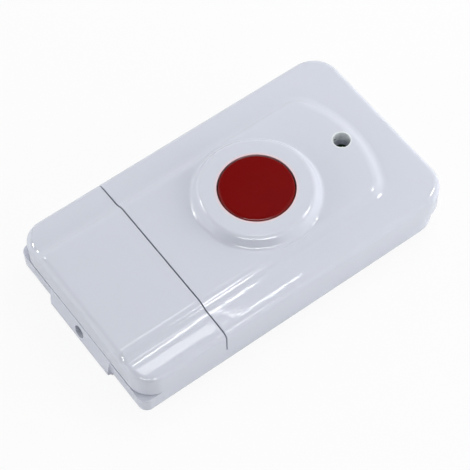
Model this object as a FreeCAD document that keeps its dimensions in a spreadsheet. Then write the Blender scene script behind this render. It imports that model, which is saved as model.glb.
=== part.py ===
import FreeCAD, Part
import math
import os

import Sketcher
from FreeCAD import Placement, Rotation, Vector

# Wireless panic button: a pocket transmitter with a sliding battery cover.
# Frame: X runs along the casing, positive towards the end with the signal lamp.
# Y runs across it, Z up from the flat rear face.
# The origin is the centre of the casing's length and width, on the rear face.

os.makedirs("parts", exist_ok=True)
doc = FreeCAD.newDocument("panic_button")

SIZES = {
    # Battery, which the casing is sized round
    "battery_radius": 4.0,
    "battery_length": 28.2,
    "battery_lift": 0.1,
    "battery_headroom": 1.5,
    "battery_rear_gap": 7.2,
    "battery_front_gap": 2.65,
    "nub_radius": 1.9,
    "nub_length": 0.6,
    "can_round": 0.45,
    # Casing
    "body_length": 75.0,
    "side_wall": 1.8,
    "top_wall": 1.6,
    "end_wall": 1.5,
    "rear_wall": 1.8,
    "seam_gap": 0.3,
    "parting_step": 0.7,
    "parting_gap": 0.25,
    "lamp_corner": 6.0,
    "cover_corner": 5.0,
    "band_fall": 0.45,
    "edge_round": 1.4,
    "rear_round": 1.6,
    "root_sink": 0.4,
    # Raised plateau along the top
    "plateau_width": 25.0,
    "plateau_rise": 1.0,
    "step_run": 3.1,
    "plateau_margin": 7.9,
    "plateau_bow": 26.0,
    "plateau_corner": 4.5,
    "recess_inset": 1.3,
    # Round mound that carries the push button
    "button_x": 5.15,
    "mound_radius": 13.5,
    "mound_rise": 2.1,
    "mound_slope": 58.0,
    "mound_top_round": 1.2,
    "mound_foot_round": 1.0,
    "mound_skirt": 0.6,
    # Push button
    "button_radius": 7.7,
    "button_gap": 0.2,
    "button_proud": 0.3,
    "button_edge": 0.7,
    "button_bow": 150.0,
    "button_wall": 1.2,
    "button_roof": 1.4,
    "flange_reach": 1.2,
    "flange_thickness": 0.6,
    "flange_room": 1.7,
    "flange_play": 0.2,
    "post_radius": 2.0,
    # Rear shell and its lip
    "rear_cover_inset": -0.1,
    "rear_lamp_inset": 1.05,
    "rear_side_inset": 0.15,
    "rear_lamp_corner": 6.2,
    "rear_cover_corner": 1.9,
    "lip_set": 0.9,
    "lip_height": 1.1,
    "lip_corner": 3.9,
    "lip_clearance": 0.15,
    "lip_headroom": 0.3,
    # Lanyard lug
    "lug_reach": 0.8,
    "lug_gap": 0.05,
    "lug_width": 20.2,
    "lug_corner": 0.3,
    "lug_root": 0.3,
    "lug_round": 0.25,
    "lug_slope_start": 1.0,
    "lanyard_radius": 1.4,
    "lanyard_roof": 0.9,
    # Battery bay and the rails that the cover slides on
    "bay_floor": 1.0,
    "bay_gap": 0.2,
    "bay_wall": 1.2,
    "bay_headroom": 0.8,
    "bay_start": 4.5,
    "bay_end": 0.9,
    "ledge_reach": 0.9,
    "ledge_thickness": 0.8,
    "rail_thickness": 0.85,
    "rail_reach": 1.0,
    "rail_gap": 0.25,
    "rail_front_gap": 0.5,
    "rail_side_gap": 0.3,
    "cradle_clearance": 0.1,
    "cradle_spacing": 15.0,
    "cradle_width": 1.2,
    "cradle_height": 3.4,
    "cradle_reach": 0.9,
    # Battery contacts
    "contact_sheet": 0.4,
    "contact_gap": 0.2,
    "contact_width": 7.0,
    "contact_low": 3.0,
    "tail_rise": 0.8,
    "tail_width": 1.6,
    "tail_inset": 0.5,
    "tail_run_out": 0.6,
    "tail_leg": 0.7,
    "leaf_room": 4.45,
    "leaf_width": 3.6,
    "leaf_sheet": 0.3,
    "leaf_crest": 1.8,
    "leaf_end": 1.75,
    "leaf_end_gap": 0.9,
    "dimple_radius": 1.5,
    "dimple_depth": 0.75,
    # Casing screws and their bosses
    "boss_setback": 4.5,
    "boss_radius": 2.4,
    "boss_rib": 0.8,
    "boss_rib_start": 1.5,
    "foot_radius": 2.7,
    "foot_drop": 0.4,
    "pilot_radius": 1.0,
    "pilot_room": 0.6,
    "screw_shank": 0.98,
    "screw_length": 6.4,
    "screw_tip": 1.2,
    "screw_head": 1.85,
    "screw_head_height": 1.1,
    "screw_hole": 1.15,
    "screw_sink_radius": 2.15,
    "screw_sink": 1.5,
    "head_round": 0.35,
    "slot_width": 0.45,
    "slot_reach": 1.05,
    "slot_depth": 0.6,
    # Circuit board
    "board_height": 4.6,
    "board_thickness": 1.6,
    "board_fit": 0.4,
    "board_corner": 3.8,
    "boss_hole_gap": 0.35,
    "support_radius": 1.9,
    "seam_screw_step": 6.3,
    "lamp_screw_step": 17.4,
    "board_screw_inset": 0.75,
    "board_screw_shank": 0.7,
    "board_screw_tip": 0.8,
    "board_screw_head": 1.5,
    "board_screw_head_height": 0.9,
    "board_screw_length": 3.6,
    "board_screw_pilot": 0.72,
    "board_screw_hole": 0.85,
    "lead_gap": 0.15,
    "lead_below": 1.0,
    # Signal lamp
    "lamp_setback": 11.0,
    "lamp_hole": 1.8,
    "lamp_tube_wall": 1.0,
    "lamp_tube_gap": 0.45,
    "lamp_length": 3.2,
    "lamp_width": 2.7,
    "lamp_base_height": 0.8,
    "lamp_dish_depth": 0.4,
    "lamp_lens_radius": 1.1,
    "lamp_lens_rise": 0.55,
    # Push switch on the board
    "switch_size": 6.0,
    "switch_base_height": 3.2,
    "switch_plate": 0.3,
    "switch_height": 4.3,
    "switch_well": 2.05,
    "switch_well_floor": 1.5,
    "window_gap": 0.15,
    "plunger_radius": 1.7,
    "plunger_flange": 1.95,
    "plunger_play": 0.05,
    "dome_height": 0.55,
    "dome_sheet": 0.12,
    "dome_gap": 0.02,
    "switch_leg_pitch": 4.5,
    "switch_leg_width": 0.7,
    "switch_leg_sheet": 0.3,
    "switch_tab_width": 3.2,
    "switch_tab_length": 2.6,
    # Encoder chip and its pins
    "chip_inset": 7.55,
    "chip_y": 4.0,
    "chip_length": 4.9,
    "chip_width": 3.9,
    "chip_body": 1.4,
    "chip_stand": 0.15,
    "chip_dimple": 0.42,
    "pin_pitch": 1.27,
    "pin_width": 0.42,
    "pin_sheet": 0.2,
    "pin_reach": 1.05,
    "pin_foot": 0.55,
    # Transmitter parts
    "resonator_setback": 8.5,
    "resonator_inset": 10.25,
    "resonator_radius": 4.1,
    "resonator_brim": 0.45,
    "resonator_brim_height": 0.5,
    "resonator_height": 2.2,
    "resonator_pin": 0.22,
    "resonator_pin_circle": 2.54,
    "transistor_setback": 3.0,
    "transistor_y": -7.5,
    "transistor_length": 2.9,
    "transistor_width": 1.4,
    "transistor_height": 1.0,
    "transistor_pitch": 0.95,
    "transistor_shoulder": 0.4,
    "transistor_foot": 0.28,
    "trimmer_setback": 9.5,
    "trimmer_y": -7.5,
    "trimmer_length": 4.2,
    "trimmer_width": 3.4,
    "trimmer_height": 1.1,
    "rotor_radius": 1.45,
    "rotor_height": 0.6,
    "rotor_slot": 0.4,
    "rotor_slot_depth": 0.3,
    "antenna_inset": 1.8,
    "antenna_span": 18.0,
    "antenna_headroom": 0.8,
    "antenna_wire": 0.4,
    "antenna_bend": 1.2,
    # Chip resistors and capacitors
    "small_length": 1.6,
    "small_width": 0.8,
    "small_pitch": 2.2,
    "resistor_y": -4.0,
    "resistor_height": 0.45,
    "capacitor_setback": 5.1,
    "capacitor_y": -11.2,
    "capacitor_height": 0.8,
}

# Copies of what repeats on the board
PINS_A_SIDE = 4
RESISTORS = 4
CAPACITORS = 4

sheet = doc.addObject("Spreadsheet::Sheet", "Sizes")
for row, (alias, number) in enumerate(SIZES.items(), start=1):
    sheet.set("A%d" % row, alias)
    sheet.set("B%d" % row, str(number))
    sheet.setAlias("B%d" % row, alias)
doc.recompute()


class Size:
    """A length or angle worked out from the sheet: its expression and its present value."""

    def __init__(self, text, value):
        self.text = text
        self.value = value

    def __add__(self, other):
        other = as_size(other)
        return Size("(%s + %s)" % (self.text, other.text), self.value + other.value)

    def __sub__(self, other):
        other = as_size(other)
        return Size("(%s - %s)" % (self.text, other.text), self.value - other.value)

    def __mul__(self, other):
        other = as_size(other)
        return Size("%s * %s" % (self.text, other.text), self.value * other.value)

    def __truediv__(self, other):
        other = as_size(other)
        return Size("%s / (%s)" % (self.text, other.text), self.value / other.value)

    def __neg__(self):
        return Size("(-1 * %s)" % self.text, -self.value)


def as_size(number):
    return number if isinstance(number, Size) else Size(repr(float(number)), float(number))


def root(size):
    return Size("sqrt(%s)" % size.text, math.sqrt(size.value))


def sine(angle):
    return Size("sin(%s * 1 deg)" % angle.text, math.sin(math.radians(angle.value)))


def cosine(angle):
    return Size("cos(%s * 1 deg)" % angle.text, math.cos(math.radians(angle.value)))


def bind(thing, prop, size):
    """Give a property its value through an expression on the sheet."""
    size = as_size(size)
    thing.setExpression(prop, size.text)


class Sheet:
    """The driving sizes by name."""

    def __getattr__(self, alias):
        return Size("Sizes.%s" % alias, float(sheet.get(alias)))


s = Sheet()
worked_out = doc.addObject("App::VarSet", "Derived")


def derive(name, size):
    """Keep a size that follows from others under a name of its own in the document."""
    worked_out.addProperty("App::PropertyFloat", name, "Derived")
    bind(worked_out, name, size)
    return Size("Derived." + name, size.value)


# Along the casing, from the cover end

half_length = derive("half_length", s.body_length / 2)
rear_x0 = derive("rear_x0", s.rear_cover_inset - half_length)
rear_x1 = derive("rear_x1", half_length - s.rear_lamp_inset)
lug_x = derive("lug_x", -half_length - s.lug_reach)
tray_x0 = derive("tray_x0", rear_x0 + s.side_wall)
tray_x1 = derive("tray_x1", rear_x1 - s.side_wall)
battery_x = derive("battery_x", tray_x0 + s.battery_rear_gap + s.battery_radius)
shell_back = derive("shell_back", battery_x + s.battery_radius + s.battery_front_gap)
cover_front = derive("cover_front", shell_back - s.seam_gap)
wall_inner = derive("wall_inner", shell_back + s.end_wall)
board_x0 = derive("board_x0", wall_inner + s.board_fit)
board_x1 = derive("board_x1", tray_x1 - s.board_fit)
tail_leg_x = derive("tail_leg_x", board_x0 + s.tail_inset)
lamp_x = derive("lamp_x", half_length - s.lamp_setback)
plateau_end = derive("plateau_end", half_length - s.plateau_margin)

# Across the casing, from its middle plane

contact_y = derive("contact_y", (s.battery_length + s.dimple_depth + s.leaf_room) / 2)
battery_end_y = derive("battery_end_y", contact_y - s.dimple_depth)
bay_half = derive("bay_half", contact_y + s.contact_sheet + s.bay_gap)
bay_outer = derive("bay_outer", bay_half + s.bay_wall)
inner_half_width = derive("inner_half_width", bay_outer + s.rail_side_gap + s.rail_reach)
half_width = derive("half_width", inner_half_width + s.side_wall)
rear_half = derive("rear_half", half_width - s.rear_side_inset)
tray_half = derive("tray_half", rear_half - s.side_wall)
lip_half = derive("lip_half", rear_half - s.lip_set)
board_half = derive("board_half", tray_half - s.board_fit)
resonator_y = derive("resonator_y", board_half - s.resonator_inset)

# Upwards, from the rear face

battery_z = derive("battery_z", s.bay_floor + s.battery_lift + s.battery_radius)
plateau_ceiling = derive("plateau_ceiling", battery_z + s.battery_radius + s.battery_headroom)
plateau_height = derive("plateau_height", plateau_ceiling + s.top_wall)
band_height = derive("band_height", plateau_height - s.plateau_rise)
band_ceiling = derive("band_ceiling", band_height - s.top_wall)
band_edge = derive("band_edge", band_height - s.band_fall)
mound_height = derive("mound_height", plateau_height + s.mound_rise)
mound_ceiling = derive("mound_ceiling", mound_height - s.top_wall)
button_height = derive("button_height", mound_height + s.button_proud)
board_top = derive("board_top", s.board_height + s.board_thickness)
foot_top = derive("foot_top", s.board_height - s.foot_drop)
lead_end = derive("lead_end", s.board_height - s.lead_below)
parting_height = derive("parting_height", s.board_height + s.parting_step)
rear_top = derive("rear_top", parting_height - s.parting_gap)
lip_top = derive("lip_top", parting_height + s.lip_height)
lug_top = derive("lug_top", parting_height - s.lug_gap)
bay_top = derive("bay_top", band_ceiling - s.bay_headroom)
ledge_z = derive("ledge_z", bay_top - s.ledge_thickness)
tail_low = derive("tail_low", board_top + s.tail_rise)
tail_high = derive("tail_high", tail_low + s.tail_width)
plunger_top = derive("plunger_top", board_top + s.switch_height)
lanyard_z = derive("lanyard_z", rear_top - s.lanyard_roof - s.lanyard_radius)
lamp_top = derive("lamp_top", board_top + s.lamp_base_height)

# The plateau's edge: two equal arcs that meet half way down the step

plateau_half = derive("plateau_half", s.plateau_width / 2)
step_middle = derive("step_middle", plateau_half + s.step_run / 2)
step_foot = derive("step_foot", plateau_half + s.step_run)
step_half_height = derive("step_half_height", band_height + s.plateau_rise / 2)
step_radius = derive("step_radius",
                     (s.step_run * s.step_run + s.plateau_rise * s.plateau_rise) / (s.plateau_rise * 4))
band_run = derive("band_run", half_width - step_foot)
band_radius = derive("band_radius", (band_run * band_run + s.band_fall * s.band_fall) / (s.band_fall * 2))

# Places that several pieces share

boss_y = derive("boss_y", tray_half - s.boss_setback)
seam_boss_x = derive("seam_boss_x", wall_inner + s.boss_setback)
lamp_boss_x = derive("lamp_boss_x", tray_x1 - s.boss_setback)
boss_spots = [(x, y) for x in (seam_boss_x, lamp_boss_x) for y in (boss_y, -boss_y)]
board_screw_y = derive("board_screw_y", boss_y - s.board_screw_inset)
board_screw_spots = [(seam_boss_x + s.seam_screw_step, board_screw_y),
                     (lamp_boss_x - s.lamp_screw_step, -board_screw_y)]


# Sketching

def part_body(label):
    body = doc.addObject("PartDesign::Body", label + "_body")
    body.Label = label
    body.AllowCompound = True
    return body


def sketch_on(body, name, role, offset=0, shift=0):
    """A sketch on one of the body's own planes, moved along its normal and along its first axis."""
    plane = [item for item in body.Origin.OriginFeatures if item.Role == role][0]
    sketch = body.newObject("Sketcher::SketchObject", name)
    sketch.AttachmentSupport = [(plane, "")]
    sketch.MapMode = "FlatFace"
    offset, shift = as_size(offset), as_size(shift)
    sketch.AttachmentOffset = Placement(Vector(shift.value, 0, offset.value), Rotation())
    bind(sketch, "AttachmentOffset.Base.z", offset)
    bind(sketch, "AttachmentOffset.Base.x", shift)
    return sketch


def hold(sketch, number, size):
    """Bind a constraint of the sketch to a size."""
    name = "size_%d" % number
    sketch.renameConstraint(number, name)
    bind(sketch, "Constraints." + name, size)


def pin_point(sketch, geometry, point, x, y):
    """Fix a point of the sketch by its two distances from the sketch's origin."""
    for kind, size in (("DistanceX", x), ("DistanceY", y)):
        number = sketch.addConstraint(Sketcher.Constraint(kind, -1, 1, geometry, point, size.value))
        hold(sketch, number, size)


def arc_between(start, end, radius, turn):
    """The short arc from start to end; turn is 1 with its centre on the left and -1 on the right."""
    chord = end - start
    rise = math.sqrt(max(radius ** 2 - (chord.Length / 2) ** 2, 0))
    centre = (start + end) / 2 + Vector(-chord.y, chord.x, 0) * (turn * rise / chord.Length)
    first, last = (start, end) if turn > 0 else (end, start)
    angles = [math.atan2(point.y - centre.y, point.x - centre.x) for point in (first, last)]
    if angles[1] <= angles[0]:
        angles[1] += 2 * math.pi
    return Part.ArcOfCircle(Part.Circle(centre, Vector(0, 0, 1), radius), *angles)


def meet(sketch, before, after):
    """Join the last point of one segment to the first point of the next."""
    sketch.addConstraint(Sketcher.Constraint("Coincident", before[0], before[2], after[0], after[1]))


def trace(sketch, path, closed=True):
    """Draw lines and arcs through the points of a path, each point fixed by named sizes.

    A point is (x, y), reached by a line, or (x, y, radius, turn), reached by an arc.
    In a closed path the last segment returns to the first point.
    """
    path = [tuple(as_size(item) for item in point[:3]) + tuple(point[3:]) for point in path]
    legs = list(zip(path, path[1:]))
    if closed:
        legs.append((path[-1], path[0]))
    ends = []
    for start, end in legs:
        a = Vector(start[0].value, start[1].value, 0)
        b = Vector(end[0].value, end[1].value, 0)
        if len(end) == 2:
            geometry = sketch.addGeometry(Part.LineSegment(a, b))
            first, last = 1, 2
        else:
            geometry = sketch.addGeometry(arc_between(a, b, end[2].value, end[3]))
            first, last = (1, 2) if end[3] > 0 else (2, 1)
            number = sketch.addConstraint(Sketcher.Constraint("Radius", geometry, end[2].value))
            hold(sketch, number, end[2])
        pin_point(sketch, geometry, first, start[0], start[1])
        if ends:
            meet(sketch, ends[-1], (geometry, first, last))
        ends.append((geometry, first, last))
    if closed:
        meet(sketch, ends[-1], ends[0])
    else:
        pin_point(sketch, ends[-1][0], ends[-1][2], path[-1][0], path[-1][1])


def ring(sketch, x, y, radius):
    x, y, radius = as_size(x), as_size(y), as_size(radius)
    geometry = sketch.addGeometry(Part.Circle(Vector(x.value, y.value, 0), Vector(0, 0, 1), radius.value))
    pin_point(sketch, geometry, 3, x, y)
    number = sketch.addConstraint(Sketcher.Constraint("Radius", geometry, radius.value))
    hold(sketch, number, radius)


def rounded(x0, x1, y0, y1, low_corner=None, high_corner=None):
    """A rectangle whose corners at x0 and at x1 have radii of their own, or none."""
    path = []
    for x, y, inward, corner in ((x1, y0, (-1, 1), high_corner), (x1, y1, (-1, -1), high_corner),
                                 (x0, y1, (1, -1), low_corner), (x0, y0, (1, 1), low_corner)):
        if corner is None:
            path.append((x, y))
            continue
        beside = (x + corner * inward[0], y)
        above = (x, y + corner * inward[1])
        first, last = (above, beside) if inward[0] == inward[1] else (beside, above)
        path += [first, last + (corner, 1)]
    return path


def sided(side, low, high):
    """The same stretch of Y on the side +1 or -1 of the casing."""
    return (low, high) if side > 0 else (-high, -low)


def bowed_corner(end, bow, corner, half):
    """Where a bowed end of radius bow meets a rounded corner that is tangent to the side at half.

    Gives the corner's centre along the way to the end, and the point where the two arcs touch.
    """
    centre = end - bow
    reach = bow - corner
    side = half - corner
    along = root(reach * reach - side * side)
    return centre + along, centre + bow * along / reach, bow * side / reach


# Features

def extrude(kind, body, name, sketch, length, reverse, middle):
    feature = body.newObject(kind, name)
    feature.Profile = sketch
    feature.Reversed = reverse
    feature.Midplane = middle
    bind(feature, "Length", length)
    return feature


def pad(body, name, sketch, length, reverse=False, middle=False):
    return extrude("PartDesign::Pad", body, name, sketch, length, reverse, middle)


def pocket(body, name, sketch, length, reverse=False, middle=False):
    return extrude("PartDesign::Pocket", body, name, sketch, length, reverse, middle)


def revolve(body, name, sketch):
    feature = body.newObject("PartDesign::Revolution", name)
    feature.Profile = sketch
    feature.ReferenceAxis = (sketch, ["V_Axis"])
    feature.Angle = 360
    return feature


def fillet(body, name, base, radius, wanted):
    """Round the edges of the base feature that the test picks."""
    doc.recompute()
    names = ["Edge%d" % number for number, edge in enumerate(base.Shape.Edges, start=1) if wanted(edge)]
    feature = body.newObject("PartDesign::Fillet", name)
    feature.Base = (base, names)
    bind(feature, "Radius", radius)
    return feature


def middle_of(edge):
    return edge.valueAt((edge.FirstParameter + edge.LastParameter) / 2)


def near(value, size):
    return abs(value - as_size(size).value) < 0.01


def upright(edge):
    start, end = edge.Vertexes[0].Point, edge.Vertexes[-1].Point
    return near(start.x, end.x) and near(start.y, end.y) and not near(start.z, end.z)


def rim_test(end_x, corner, open_x):
    """A test for the edges round the top of a shell, from the open side round one end and back."""
    def wanted(edge):
        point = middle_of(edge)
        if point.z < band_edge.value - 0.01 or near(point.x, open_x):
            return False
        along = abs(point.x - end_x.value) - corner.value
        across = half_width.value - abs(point.y) - corner.value
        if along < 0 and across < 0:
            return near(math.hypot(along, across), corner)
        return near(abs(point.y), half_width) or near(point.x, end_x)
    return wanted


# Shared outlines

def crown(with_plateau):
    """The casing's section across its width, seen along X, with or without the plateau."""
    path = [(-half_width, parting_height), (half_width, parting_height), (half_width, band_edge),
            (step_foot, band_height, band_radius, 1)]
    if with_plateau:
        path += [(step_middle, step_half_height, step_radius, -1),
                 (plateau_half, plateau_height, step_radius, 1),
                 (-plateau_half, plateau_height), (-step_middle, step_half_height, step_radius, 1),
                 (-step_foot, band_height, step_radius, -1)]
    else:
        path += [(-step_foot, band_height)]
    return path + [(-half_width, band_edge, band_radius, 1)]


def plateau_plan(inset):
    """The plateau's plan inside the middle of its step, from the seam round the lamp end and back."""
    half = step_middle - inset
    corner = s.plateau_corner - inset
    corner_x, touch_x, touch_y = bowed_corner(plateau_end - inset, s.plateau_bow - inset, corner, half)
    return [(shell_back, -half), (corner_x, -half), (touch_x, -touch_y, corner, 1),
            (touch_x, touch_y, s.plateau_bow - inset, 1), (corner_x, half, corner, 1), (shell_back, half)]


def lip_plan(gap, start, start_corner):
    """The plan of the rear shell's lip, wider by a gap."""
    return rounded(start, rear_x1 - s.lip_set + gap, -(lip_half + gap), lip_half + gap,
                   start_corner, s.rear_lamp_corner - s.lip_set + gap)


# Front shell: the moulded top half, with the plateau, the mound and the lamp hole

def front_shell():
    body = part_body("front_shell")
    section = sketch_on(body, "shell_section", "YZ_Plane", shell_back)
    trace(section, crown(False))
    block = pad(body, "shell_block", section, half_length - shell_back)
    corners = fillet(body, "shell_corners", block, s.lamp_corner,
                     lambda edge: upright(edge) and near(middle_of(edge).x, half_length))
    fillet(body, "shell_rim", corners, s.edge_round, rim_test(half_length, s.lamp_corner, shell_back))

    root_z = band_height - s.top_wall / 2
    core = sketch_on(body, "plateau_plan", "XY_Plane", root_z)
    trace(core, plateau_plan(s.step_run / 2))
    pad(body, "plateau_core", core, plateau_height - root_z)
    path = sketch_on(body, "step_path", "XY_Plane", root_z)
    trace(path, plateau_plan(as_size(0)), closed=False)
    step = sketch_on(body, "step_section", "YZ_Plane", shell_back)
    trace(step, [(-step_foot, root_z), (-plateau_half, root_z), (-plateau_half, plateau_height),
                 (-step_middle, step_half_height, step_radius, 1),
                 (-step_foot, band_height, step_radius, -1)])
    sweep = body.newObject("PartDesign::AdditivePipe", "plateau_step")
    sweep.Profile = step
    sweep.Spine = path
    sweep.Transition = "Transformed"

    mound = sketch_on(body, "mound_section", "XZ_Plane", 0, s.button_x)
    lean = sine(s.mound_slope)
    drop = as_size(1) - cosine(s.mound_slope)
    rounds = s.mound_foot_round + s.mound_top_round
    straight = (s.mound_rise - rounds * drop) * cosine(s.mound_slope) / lean
    table = s.mound_radius - rounds * lean - straight
    skirt = s.mound_radius + s.mound_skirt
    skirt_drop = s.mound_skirt * lean / cosine(s.mound_slope)
    trace(mound, [(0, root_z), (skirt, root_z), (skirt, plateau_height - skirt_drop),
                  (s.mound_radius, plateau_height),
                  (s.mound_radius - s.mound_foot_round * lean, plateau_height + s.mound_foot_round * drop,
                   s.mound_foot_round, -1),
                  (table + s.mound_top_round * lean, mound_height - s.mound_top_round * drop),
                  (table, mound_height, s.mound_top_round, 1), (0, mound_height)])
    revolve(body, "mound", mound)

    inside = sketch_on(body, "hollow_plan", "XY_Plane", parting_height)
    trace(inside, rounded(wall_inner, half_length - s.side_wall, -inner_half_width, inner_half_width,
                          None, s.lamp_corner - s.side_wall))
    pocket(body, "hollow", inside, band_ceiling - parting_height, reverse=True)
    recess = sketch_on(body, "plateau_recess_plan", "XY_Plane", band_ceiling)
    recess_half = plateau_half - s.recess_inset
    recess_end = plateau_end - s.step_run
    trace(recess, rounded(wall_inner, recess_end, -recess_half, recess_half, None, s.plateau_corner))
    pocket(body, "plateau_recess", recess, s.plateau_rise, reverse=True)
    dish = sketch_on(body, "mound_recess_plan", "XY_Plane", band_ceiling)
    ring(dish, s.button_x, 0, s.button_radius + s.flange_reach + s.flange_room)
    pocket(body, "mound_recess", dish, mound_ceiling - band_ceiling, reverse=True)
    rebate = sketch_on(body, "rebate_plan", "XY_Plane", parting_height)
    trace(rebate, lip_plan(s.lip_clearance, cover_front, None))
    pocket(body, "rebate", rebate, s.lip_height + s.lip_clearance, reverse=True)

    bosses = sketch_on(body, "boss_plan", "XY_Plane", foot_top)
    pilots = sketch_on(body, "pilot_plan", "XY_Plane", foot_top)
    for x, y in boss_spots:
        ring(bosses, x, y, s.boss_radius)
        ring(pilots, x, y, s.pilot_radius)
    pad(body, "bosses", bosses, band_ceiling + s.root_sink - foot_top)
    rib_low = lip_top + s.lip_headroom
    ribs = sketch_on(body, "boss_rib_plan", "XY_Plane", rib_low)
    for x, side in ((seam_boss_x, 1), (seam_boss_x, -1), (lamp_boss_x, 1), (lamp_boss_x, -1)):
        low, high = sided(side, boss_y + s.boss_rib_start, inner_half_width + s.root_sink)
        trace(ribs, rounded(x - s.boss_rib / 2, x + s.boss_rib / 2, low, high))
    pad(body, "boss_ribs", ribs, band_ceiling + s.root_sink - rib_low)
    tube_end = lamp_top + s.lamp_lens_rise + s.lamp_tube_gap
    tube = sketch_on(body, "lamp_tube_plan", "XY_Plane", tube_end)
    ring(tube, lamp_x, 0, s.lamp_hole + s.lamp_tube_wall)
    pad(body, "lamp_tube", tube, band_ceiling + s.root_sink - tube_end)
    pocket(body, "pilots", pilots, s.screw_sink + s.screw_length + s.pilot_room - foot_top, reverse=True)
    openings = sketch_on(body, "opening_plan", "XY_Plane", button_height)
    ring(openings, s.button_x, 0, s.button_radius + s.button_gap)
    ring(openings, lamp_x, 0, s.lamp_hole)
    pocket(body, "openings", openings, button_height - parting_height)
    slots = sketch_on(body, "tail_slots", "YZ_Plane", cover_front)
    for side in (1, -1):
        low, high = sided(side, contact_y - s.contact_gap, contact_y + s.contact_sheet + s.contact_gap)
        trace(slots, rounded(low, high, parting_height, tail_high + s.contact_gap))
    pocket(body, "tail_passages", slots, s.end_wall + s.tail_run_out, reverse=True)
    return body


# Battery cover: the end of the casing, which slides off along -X

def battery_cover():
    body = part_body("battery_cover")
    section = sketch_on(body, "cover_section", "YZ_Plane", cover_front)
    trace(section, crown(True))
    block = pad(body, "cover_block", section, cover_front + half_length, reverse=True)
    corners = fillet(body, "cover_corners", block, s.cover_corner,
                     lambda edge: upright(edge) and near(middle_of(edge).x, -half_length))
    fillet(body, "cover_rim", corners, s.edge_round, rim_test(-half_length, s.cover_corner, cover_front))

    past_front = cover_front + s.seam_gap
    inside = sketch_on(body, "cover_hollow_plan", "XY_Plane", parting_height)
    trace(inside, rounded(s.side_wall - half_length, past_front, -inner_half_width, inner_half_width,
                          s.cover_corner - s.side_wall, None))
    pocket(body, "cover_hollow", inside, band_ceiling - parting_height, reverse=True)
    recess = sketch_on(body, "cover_recess_plan", "XY_Plane", band_ceiling)
    recess_half = plateau_half - s.recess_inset
    trace(recess, rounded(s.side_wall - half_length, past_front, -recess_half, recess_half))
    pocket(body, "cover_recess", recess, s.plateau_rise, reverse=True)
    rebate = sketch_on(body, "cover_rebate_plan", "XY_Plane", parting_height)
    reach = lip_half + s.lip_clearance
    trace(rebate, rounded(rear_x0 + s.lip_set - s.lip_clearance, past_front, -reach, reach,
                          s.lip_corner + s.lip_clearance, None))
    pocket(body, "cover_rebate", rebate, s.lip_height + s.lip_clearance, reverse=True)

    rails = sketch_on(body, "cover_rails", "YZ_Plane", cover_front - s.bay_end - s.rail_gap)
    rail_top = ledge_z - s.rail_gap
    for side in (1, -1):
        low, high = sided(side, bay_outer + s.rail_side_gap, inner_half_width + s.root_sink)
        trace(rails, rounded(low, high, rail_top - s.rail_thickness, rail_top))
    rail_start = half_length - s.bay_start
    pad(body, "rails", rails, cover_front - s.bay_end - s.rail_front_gap + rail_start, reverse=True)
    return body


# Rear shell: the tray that carries everything, with the lanyard lug at the cover end

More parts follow.
